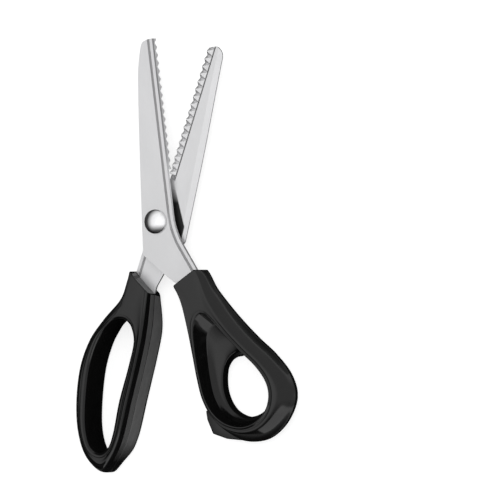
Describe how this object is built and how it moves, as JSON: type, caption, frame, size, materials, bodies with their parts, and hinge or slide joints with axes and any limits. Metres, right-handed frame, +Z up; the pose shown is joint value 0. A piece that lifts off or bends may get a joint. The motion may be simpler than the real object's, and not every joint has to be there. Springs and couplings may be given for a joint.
{
  "type": "pinking shears",
  "caption": "Pinking shears with zigzag-toothed steel blades on a domed pivot screw and black moulded grips: a long finger loop and a teardrop thumb scoop.",
  "frame": {"origin": "centre of the footprint, on the plane that the shears lie on", "axes": "+Y towards the blade tips, +Z up along the pivot axis towards the screw's head, +X towards the thumb grip"},
  "size_m": [0.1298, 0.2348, 0.0195],
  "materials": {
    "blade_steel": "satin brushed",
    "strip_steel": "ground",
    "screw_steel": "polished",
    "grip_plastic": "high gloss"
  },
  "bodies": {
    "finger_half": {"rear_blade": "blade_steel", "rear_tooth_strip": "strip_steel", "pivot_screw": "screw_steel", "spacer_washer": "blade_steel", "nut_washer": "screw_steel", "pivot_nut": "screw_steel", "finger_grip_front": "grip_plastic", "finger_grip_rear": "grip_plastic", "finger_tang_pins": "screw_steel"},
    "thumb_half": {"front_blade": "blade_steel", "front_tooth_strip": "strip_steel", "thumb_grip_front": "grip_plastic", "thumb_grip_rear": "grip_plastic", "thumb_tang_pins": "screw_steel"}
  },
  "joints": [
    {"name": "pivot", "type": "hinge", "parent": "finger_half", "child": "thumb_half", "pos_m": [-0.01785, 0.0185, 0.01], "axis": [0, 0, 1], "range_deg": [-19.5, 35]}
  ]
}
